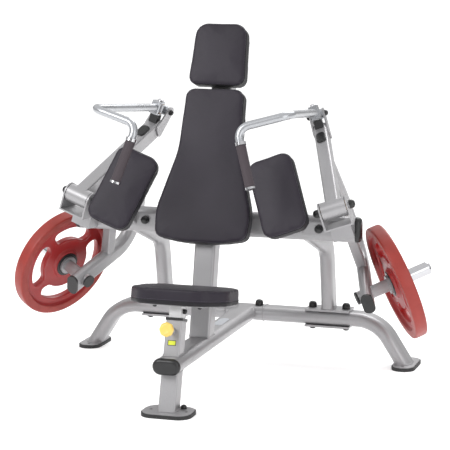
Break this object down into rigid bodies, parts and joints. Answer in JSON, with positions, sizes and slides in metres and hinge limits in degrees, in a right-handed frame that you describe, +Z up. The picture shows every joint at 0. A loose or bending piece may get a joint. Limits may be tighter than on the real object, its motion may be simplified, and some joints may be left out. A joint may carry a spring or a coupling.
{
  "type": "plate-loaded chest press machine",
  "caption": "Seated press machine on a tube frame: padded seat, back, head and arm rests, two pivoting levers with swivel handles, and a weight plate on each side.",
  "frame": {"origin": "on the floor, under the centre of the front foot", "axes": "+X to the right of someone facing the seat, +Y from the front foot to the rear feet, +Z up; metres"},
  "size_m": [1.6294, 1.125, 1.3492],
  "materials": {
    "frame_coat": "grey metallic powder coat, satin",
    "silver_coat": "silver paint, glossy",
    "chrome_plate": "bright chrome plate",
    "bare_steel": "zinc-plated steel",
    "grip_rubber": "brown-grey hand grip, matt",
    "leatherette": "dark charcoal padded leatherette",
    "board_wood": "black-stained plywood board",
    "black_plastic": "black moulded plastic",
    "black_rubber": "black rubber, matt",
    "light_coat": "pale powder coat",
    "yellow_plastic": "yellow moulded plastic",
    "bronze": "bronze bushing",
    "red_coat": "red enamel on cast iron"
  },
  "bodies": {
    "frame": {"arm_pad_brackets": "frame_coat", "back_pad": "leatherette", "bolt_caps": "black_plastic", "clamp_plates": "frame_coat", "column": "frame_coat", "cross_beam": "frame_coat", "foot_plates": "frame_coat", "foot_shoes": "black_rubber", "frame_bolts": "bare_steel", "front_post": "frame_coat", "head_pad": "leatherette", "pad_boards": "board_wood", "rear_stub": "frame_coat", "rest_stops": "black_rubber", "seat_sleeve": "frame_coat", "sleeve_bushing": "black_plastic", "spine_tube": "frame_coat", "tube_end_caps": "black_plastic", "left_arm_pad": "leatherette", "left_leg": "frame_coat", "left_pivot_bracket": "frame_coat", "left_upright": "frame_coat", "right_arm_pad": "leatherette", "right_leg": "frame_coat", "right_pivot_bracket": "frame_coat", "right_upright": "frame_coat"},
    "seat_carriage": {"seat_post": "light_coat", "seat_plate": "frame_coat", "seat_bolts": "black_plastic", "seat_pad": "leatherette"},
    "pull_pin": {"pull_pin": "bare_steel", "pin_knob": "yellow_plastic"},
    "right_lever": {"right_lever_arm": "frame_coat", "right_lever_clevis": "frame_coat", "right_lever_strut": "frame_coat", "right_rear_tube": "frame_coat", "right_load_horn": "frame_coat", "right_horn_sleeve": "chrome_plate", "right_lever_caps": "black_plastic", "right_hub_bushings": "bronze"},
    "right_cross": {"right_cross_block": "silver_coat"},
    "right_handle": {"right_handle_tube": "silver_coat", "right_handle_trim": "chrome_plate", "right_handle_grip": "grip_rubber"},
    "right_plate": {"right_weight_plate": "red_coat"},
    "right_clip": {"right_spring_clip": "bare_steel"},
    "left_lever": {"left_lever_arm": "frame_coat", "left_lever_clevis": "frame_coat", "left_lever_strut": "frame_coat", "left_rear_tube": "frame_coat", "left_load_horn": "frame_coat", "left_horn_sleeve": "chrome_plate", "left_lever_caps": "black_plastic", "left_hub_bushings": "bronze"},
    "left_cross": {"left_cross_block": "silver_coat"},
    "left_handle": {"left_handle_tube": "silver_coat", "left_handle_trim": "chrome_plate", "left_handle_grip": "grip_rubber"},
    "left_plate": {"left_weight_plate": "red_coat"},
    "left_clip": {"left_spring_clip": "bare_steel"}
  },
  "joints": [
    {"name": "seat_slide", "type": "slide", "parent": "frame", "child": "seat_carriage", "axis": [0, 0.2756, 0.9613], "range_m": [0, 0.075]},
    {"name": "pin_pull", "type": "slide", "parent": "frame", "child": "pull_pin", "axis": [0, -0.9613, 0.2756], "range_m": [0, 0.012], "stiffness_N_per_m": 1200, "springref_m": -0.006},
    {"name": "right_press", "type": "hinge", "parent": "frame", "child": "right_lever", "pos_m": [0.4935, 0.416, 0.7], "axis": [0.9327, 0.1821, 0.3112], "range_deg": [0, 60]},
    {"name": "right_lift", "type": "hinge", "parent": "right_lever", "child": "right_cross", "pos_m": [0.31163, 0.85529, 0.98795], "axis": [-0.9327, -0.1821, -0.3112], "range_deg": [0, 50]},
    {"name": "right_swing", "type": "hinge", "parent": "right_cross", "child": "right_handle", "pos_m": [0.31644, 0.8063, 1.0022], "axis": [-0.3263, 0.0587, 0.9434], "range_deg": [-12, 25]},
    {"name": "right_plate_slide", "type": "slide", "parent": "right_lever", "child": "right_plate", "axis": [0.8261, 0.4241, 0.3711], "range_m": [0, 0.1]},
    {"name": "right_clip_slide", "type": "slide", "parent": "right_lever", "child": "right_clip", "axis": [0.8261, 0.4241, 0.3711], "range_m": [0, 0.1]},
    {"name": "left_press", "type": "hinge", "parent": "frame", "child": "left_lever", "pos_m": [-0.4935, 0.416, 0.7], "axis": [0.9327, -0.1821, -0.3112], "range_deg": [0, 60]},
    {"name": "left_lift", "type": "hinge", "parent": "left_lever", "child": "left_cross", "pos_m": [-0.31163, 0.85529, 0.98795], "axis": [-0.9327, 0.1821, 0.3112], "range_deg": [0, 50]},
    {"name": "left_swing", "type": "hinge", "parent": "left_cross", "child": "left_handle", "pos_m": [-0.31644, 0.8063, 1.0022], "axis": [-0.3263, -0.0587, -0.9434], "range_deg": [-12, 25]},
    {"name": "left_plate_slide", "type": "slide", "parent": "left_lever", "child": "left_plate", "axis": [-0.8261, 0.4241, 0.3711], "range_m": [0, 0.1]},
    {"name": "left_clip_slide", "type": "slide", "parent": "left_lever", "child": "left_clip", "axis": [-0.8261, 0.4241, 0.3711], "range_m": [0, 0.1]}
  ],
  "couplings": [
    {"joint": "right_clip_slide", "follows": "right_plate_slide", "ratio": 1},
    {"joint": "left_clip_slide", "follows": "left_plate_slide", "ratio": 1}
  ]
}
